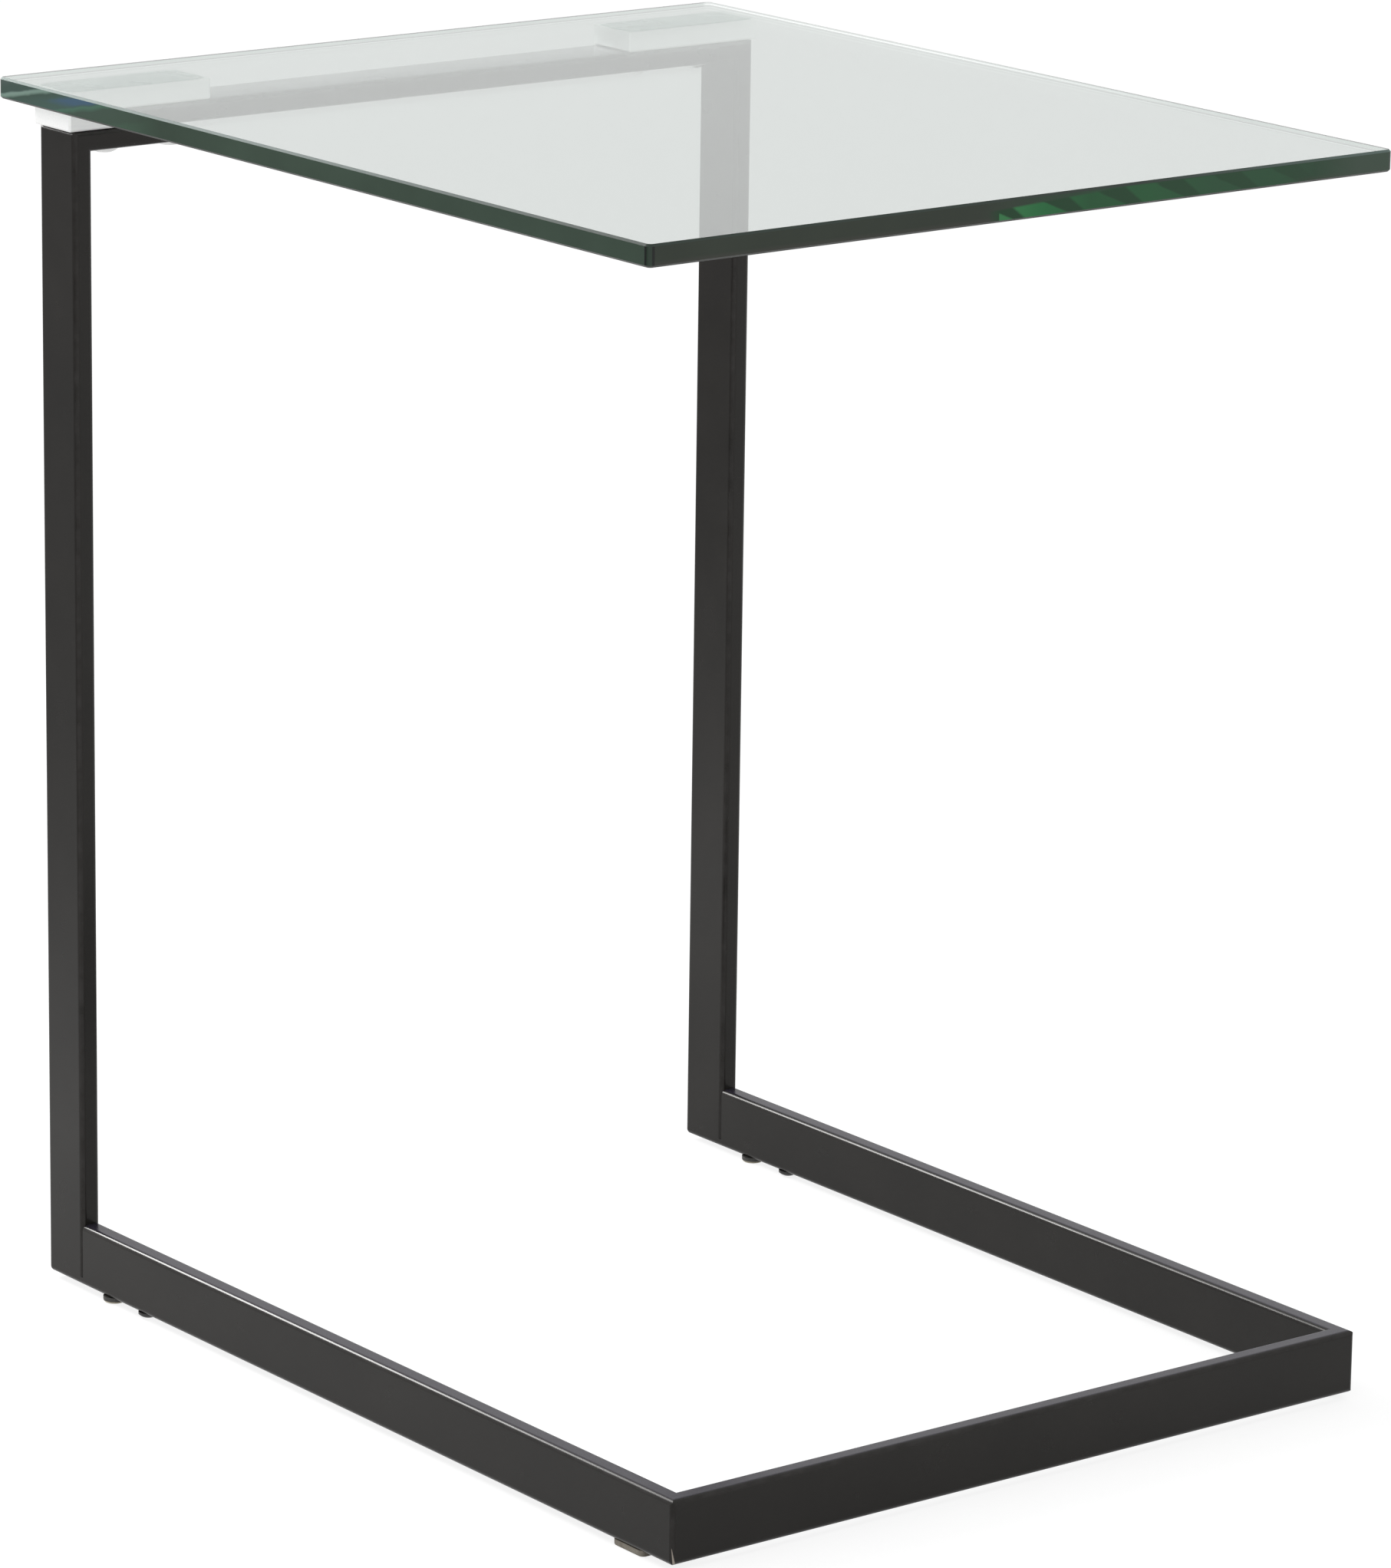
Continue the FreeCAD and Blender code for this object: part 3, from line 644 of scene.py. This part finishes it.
def rounded_outline(low, high, grow):
    """Points round the plate with its rounded corners, counter-clockwise, moved out by grow."""
    corners = ((high.x, high.y, 0), (low.x, high.y, 90), (low.x, low.y, 180), (high.x, low.y, 270))
    reach = GLASS_RADIUS + grow
    points = []
    for x, y, start in corners:
        centre_x = x - math.copysign(GLASS_RADIUS, x)
        centre_y = y - math.copysign(GLASS_RADIUS, y)
        for step in range(CORNER_STEPS + 1):
            angle = math.radians(start + 90 * step / CORNER_STEPS)
            points.append((centre_x + reach * math.cos(angle), centre_y + reach * math.sin(angle)))
    return points


def edge_section(low, high, lift):
    """Growth and height of the four corners of the edge, moved out by lift."""
    inner = -GLASS_ARRIS + math.sqrt(2) * lift
    rise = GLASS_ARRIS - (math.sqrt(2) - 1) * lift
    return [(inner, low.z), (lift, low.z + rise), (lift, high.z - rise), (inner, high.z)]


def add_glass_edge():
    """Closed skin whose outer faces show the green of the edge, and whose inner faces glow with painted
    light.
    """
    low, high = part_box("glass_top")
    outer = edge_section(low, high, EDGE_OUTSIDE)
    section = outer + edge_section(low, high, EDGE_INSIDE)[::-1]
    vertices = []
    for grow, z in section:
        vertices += [(x, y, z) for x, y in rounded_outline(low, high, grow)]
    count = len(vertices) // len(section)
    faces = []
    for ring in range(len(section)):
        this, following = ring * count, (ring + 1) % len(section) * count
        for i in range(count):
            j = (i + 1) % count
            faces.append((this + i, this + j, following + j, following + i))
    edge = add_piece("glass_edge", vertices, faces, glass_edge(), edge_inside_glow())
    for face in edge.data.polygons[len(outer) * count:]:
        face.material_index = 1
    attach(edge, "frame")


add_glass_edge()


# Adhesive between glass and blocks, a hair clear of both so that no faces coincide

BOND_GAP = 0.00002
BOND_STEPS = 36
BOND_WAVE = 0.012
BOND_WAVES = 5
BOND_PHASES = {"left": 0.0, "right": 1.7}


def add_bond(side):
    """Thin layer with a slightly uneven rim, as pressed out of a bead."""
    low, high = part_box(f"{side}_bond_film")
    middle = (low + high) / 2
    half_x, half_y = (high.x - low.x) / 2, (high.y - low.y) / 2
    rim = []
    for step in range(BOND_STEPS):
        angle = math.radians(360 * step / BOND_STEPS)
        square = max(abs(math.cos(angle)), abs(math.sin(angle)))
        uneven = 1 - BOND_WAVE * (1 + math.sin(BOND_WAVES * angle + BOND_PHASES[side]))
        rim.append((
            middle.x + half_x * uneven * math.cos(angle) / square,
            middle.y + half_y * uneven * math.sin(angle) / square,
        ))
    vertices = [(x, y, z) for z in (low.z + BOND_GAP, high.z - BOND_GAP) for x, y in rim]
    faces = [tuple(reversed(range(BOND_STEPS))), tuple(range(BOND_STEPS, 2 * BOND_STEPS))]
    for i in range(BOND_STEPS):
        j = (i + 1) % BOND_STEPS
        faces.append((i, j, BOND_STEPS + j, BOND_STEPS + i))
    layer = add_piece(f"{side}_bond_layer", vertices, faces, materials["bond_adhesive"])
    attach(layer, "frame")
    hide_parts(f"{side}_bond_film")


add_bond("left")
add_bond("right")


# Stage: a white floor and plain soft light

FLOOR_GREY = 0.8
REARWARD, LEFTWARD = 0.79, 0.61


def matt(kit, level):
    """Plain matt grey."""
    node = kit.add("ShaderNodeBsdfDiffuse")
    node.inputs["Color"].default_value = (level, level, level, 1)
    return node.outputs["BSDF"]


def white_floor(glow, shade, through, gloss):
    """Glows for the camera and keeps part of its shadows, and is plain grey for scattered light.

    It is as bright as through where glass shows it. Gloss gives how bright it is mirrored,
    by how far it lies towards the rear left.
    """
    material = bpy.data.materials.new("white_floor")
    material.use_nodes = True
    kit = Nodes(material.node_tree)
    path = kit.add("ShaderNodeLightPath").outputs
    direct, glossy, passed = path["Is Camera Ray"], path["Is Glossy Ray"], path["Is Transmission Ray"]
    x, y, _ = kit.axes(kit.place())
    away = kit.minus(kit.times(y, REARWARD), kit.times(x, LEFTWARD))
    first, last = gloss[0][0], gloss[-1][0]
    stops = [((place - first) / (last - first), (level, level, level)) for place, level in gloss]
    dimmed = kit.ramp(kit.spread(away, 0, 1, first, last), stops)
    mirrored = kit.times(kit.maths("GREATER_THAN", glossy, passed), dimmed)
    light = kit.add("ShaderNodeEmission")
    strength = kit.most(kit.times(direct, glow), kit.times(passed, through), mirrored)
    kit.link(strength, light.inputs["Strength"])
    glowing = kit.add("ShaderNodeAddShader")
    kit.link(matt(kit, shade), glowing.inputs[0])
    kit.link(light.outputs[0], glowing.inputs[1])
    mix = kit.add("ShaderNodeMixShader")
    kit.link(kit.most(direct, glossy, passed), mix.inputs[0])
    kit.link(matt(kit, FLOOR_GREY), mix.inputs[1])
    kit.link(glowing.outputs[0], mix.inputs[2])
    kit.link(mix.outputs[0], kit.add("ShaderNodeOutputMaterial").inputs["Surface"])
    return material


def add_floor(half, material):
    """Square floor under the table."""
    corners = [(-half, -half, 0), (half, -half, 0), (half, half, 0), (-half, half, 0)]
    floor = add_piece("floor", corners, [(0, 1, 2, 3)], material)


def add_world(ambient, mirrored):
    """White for the camera, one level where it is mirrored or seen through glass, and one for the rest."""
    world = bpy.data.worlds.new("studio")
    world.use_nodes = True
    scene.world = world
    kit = Nodes(world.node_tree)
    background = kit.add("ShaderNodeBackground")
    background.inputs["Color"].default_value = (1, 1, 1, 1)
    path = kit.add("ShaderNodeLightPath").outputs
    again = kit.most(path["Is Glossy Ray"], path["Is Transmission Ray"])
    dim = kit.spread(again, ambient, mirrored, 0, 1)
    kit.link(kit.most(path["Is Camera Ray"], dim), background.inputs["Strength"])
    kit.link(background.outputs[0], kit.add("ShaderNodeOutputWorld").inputs["Surface"])


def add_lamp(name, place, target, width, height, watts):
    """Soft rectangular lamp that the camera doesn't see."""
    data = bpy.data.lights.new(name, "AREA")
    data.shape = "RECTANGLE"
    data.size, data.size_y = width, height
    data.energy = watts
    lamp = bpy.data.objects.new(name, data)
    lamp.location = place
    lamp.rotation_mode = "QUATERNION"
    lamp.rotation_quaternion = (Vector(target) - Vector(place)).to_track_quat("-Z", "Y")
    lamp.visible_camera = False
    scene.collection.objects.link(lamp)


floor_look = white_floor(
    glow=0.82,
    shade=0.27,
    through=0.43,
    gloss=(
        (-1.00, 0.80),
        (-0.35, 0.70),
        (-0.20, 0.58),
        (0.35, 0.58),
        (0.55, 0.68),
        (1.15, 0.16),
        (1.45, 0.14),
        (2.30, 0.26),
    ),
)
add_floor(half=40, material=floor_look)
add_world(ambient=0.70, mirrored=0.91)
add_lamp("back_softbox", (-0.9, 2.5, 2.1), (0, 0, 0.2), width=1.6, height=1.0, watts=22)
add_lamp("left_strip", (-2.4, 0.1, 0.56), (0, 0.1, 0.56), width=1.8, height=0.1, watts=10)
add_lamp("edge_strip", (-0.455, 1.18, 0.86), (-0.2, 0.18, 0.05), width=0.5, height=0.33, watts=8.4)

scene.view_settings.view_transform = "Standard"
